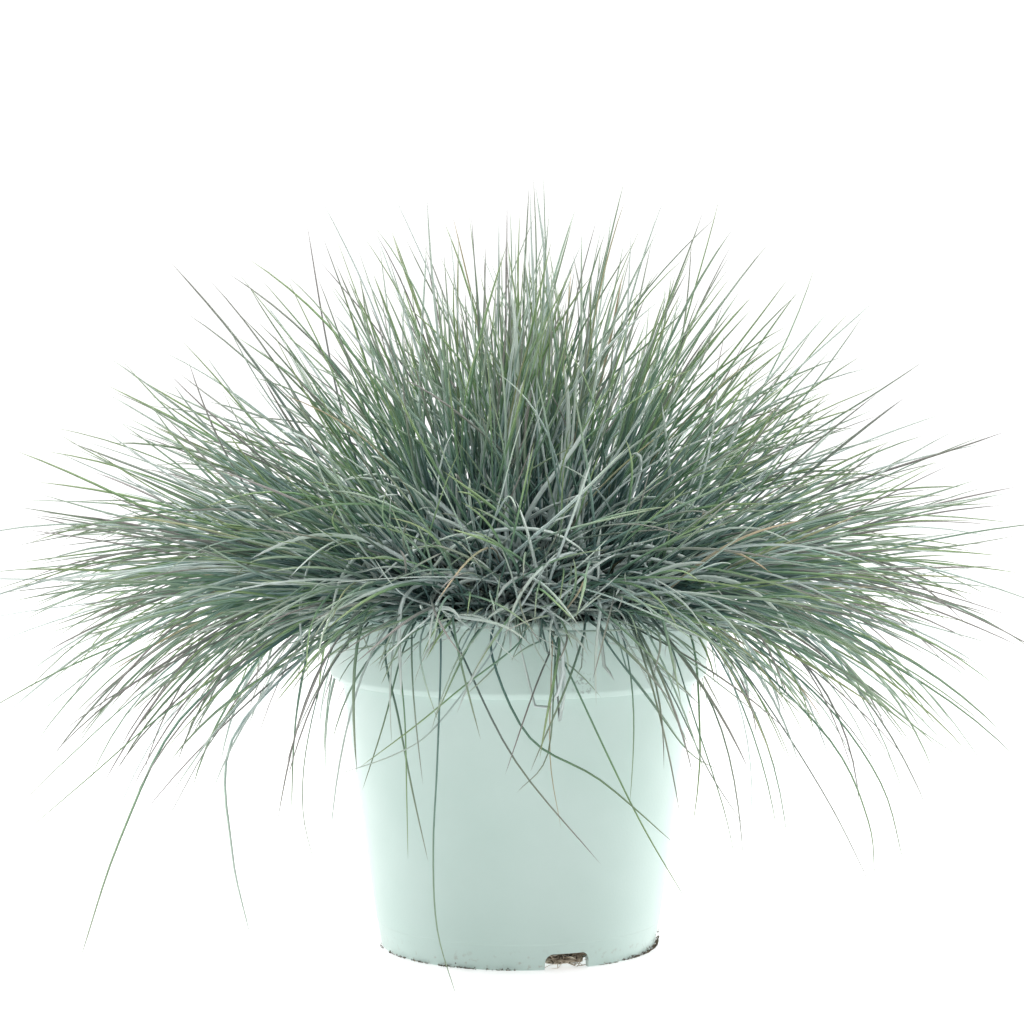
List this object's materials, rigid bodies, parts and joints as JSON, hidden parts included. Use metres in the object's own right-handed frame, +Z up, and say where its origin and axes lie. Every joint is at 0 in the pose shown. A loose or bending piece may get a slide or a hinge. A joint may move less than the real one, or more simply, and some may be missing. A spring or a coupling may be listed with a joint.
{
  "type": "potted blue fescue clump",
  "caption": "Tussock of fine blue-green grass leaves in a tapered round plastic nursery pot with soil, collared rim and drainage notches; stands flat on its foot",
  "frame": {"origin": "the centre of the pot's foot, on the surface that the pot stands on, which is also the bottom centre of the box around the whole plant", "axes": "+Z up along the pot's axis; -Y is the front, the side that the picture shows, with a drainage notch 20 degrees to the right of it; +X is to the right seen from the front"},
  "size_m": [0.4662, 0.4599, 0.3374],
  "materials": {
    "mint_plastic": "satin",
    "peat": "matte",
    "leaf_sheath": "matte",
    "blue_leaf": "matte"
  },
  "bodies": {
    "root": {"crown": "leaf_sheath", "hanging_leaf_01": "blue_leaf", "hanging_leaf_02": "blue_leaf", "hanging_leaf_03": "blue_leaf", "hanging_leaf_04": "blue_leaf", "hanging_leaf_05": "blue_leaf", "hanging_leaf_06": "blue_leaf", "hanging_leaf_07": "blue_leaf", "hanging_leaf_08": "blue_leaf", "hanging_leaf_09": "blue_leaf", "hanging_leaf_10": "blue_leaf", "heart_tuft_01": "blue_leaf", "heart_tuft_02": "blue_leaf", "pot": "mint_plastic", "rising_tuft_01": "blue_leaf", "rising_tuft_02": "blue_leaf", "rising_tuft_03": "blue_leaf", "rising_tuft_04": "blue_leaf", "rising_tuft_05": "blue_leaf", "rising_tuft_06": "blue_leaf", "rising_tuft_07": "blue_leaf", "rising_tuft_08": "blue_leaf", "rising_tuft_09": "blue_leaf", "side_tuft_01": "blue_leaf", "side_tuft_02": "blue_leaf", "side_tuft_03": "blue_leaf", "side_tuft_04": "blue_leaf", "side_tuft_05": "blue_leaf", "side_tuft_06": "blue_leaf", "side_tuft_07": "blue_leaf", "side_tuft_08": "blue_leaf", "side_tuft_09": "blue_leaf", "side_tuft_10": "blue_leaf", "side_tuft_11": "blue_leaf", "side_tuft_12": "blue_leaf", "skirt_tuft_01": "blue_leaf", "skirt_tuft_02": "blue_leaf", "skirt_tuft_03": "blue_leaf", "skirt_tuft_04": "blue_leaf", "skirt_tuft_05": "blue_leaf", "skirt_tuft_06": "blue_leaf", "skirt_tuft_07": "blue_leaf", "skirt_tuft_08": "blue_leaf", "skirt_tuft_09": "blue_leaf", "skirt_tuft_10": "blue_leaf", "skirt_tuft_11": "blue_leaf", "skirt_tuft_12": "blue_leaf", "soil": "peat", "upright_tuft_01": "blue_leaf", "upright_tuft_02": "blue_leaf", "upright_tuft_03": "blue_leaf", "upright_tuft_04": "blue_leaf", "upright_tuft_05": "blue_leaf", "upright_tuft_06": "blue_leaf"}
  },
  "joints": []
}
